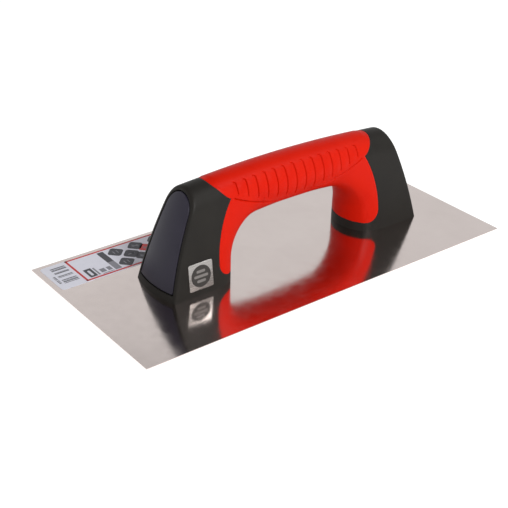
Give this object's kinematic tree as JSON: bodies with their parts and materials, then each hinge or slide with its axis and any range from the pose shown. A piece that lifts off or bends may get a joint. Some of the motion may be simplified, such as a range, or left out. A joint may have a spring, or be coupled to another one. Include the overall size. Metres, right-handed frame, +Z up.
{
  "type": "plain-edged finishing trowel with a closed handle",
  "caption": "Rectangular stainless steel trowel with plain edges and a closed two-colour handle that stands on two hollow feet.",
  "frame": {"origin": "centre of the blade's underside", "axes": "+X along the blade to its right end, +Y to its back edge, +Z up to the handle"},
  "size_m": [0.28, 0.13, 0.0674],
  "materials": {
    "stainless_sheet": "polished along its length",
    "plated_steel": "zinc plated",
    "black_plastic": "fine moulded texture",
    "red_soft_plastic": "satin soft touch",
    "cover_plastic": "satin",
    "badge_foil": "satin",
    "printed_paper": "coated paper"
  },
  "bodies": {
    "root": {"blade": "stainless_sheet", "weld_studs": "plated_steel", "washers": "plated_steel", "lock_nuts": "plated_steel", "handle_core": "black_plastic", "grip_sleeve": "red_soft_plastic", "left_end_cover": "cover_plastic", "right_end_cover": "cover_plastic", "badge": "badge_foil", "label": "printed_paper"}
  },
  "joints": []
}
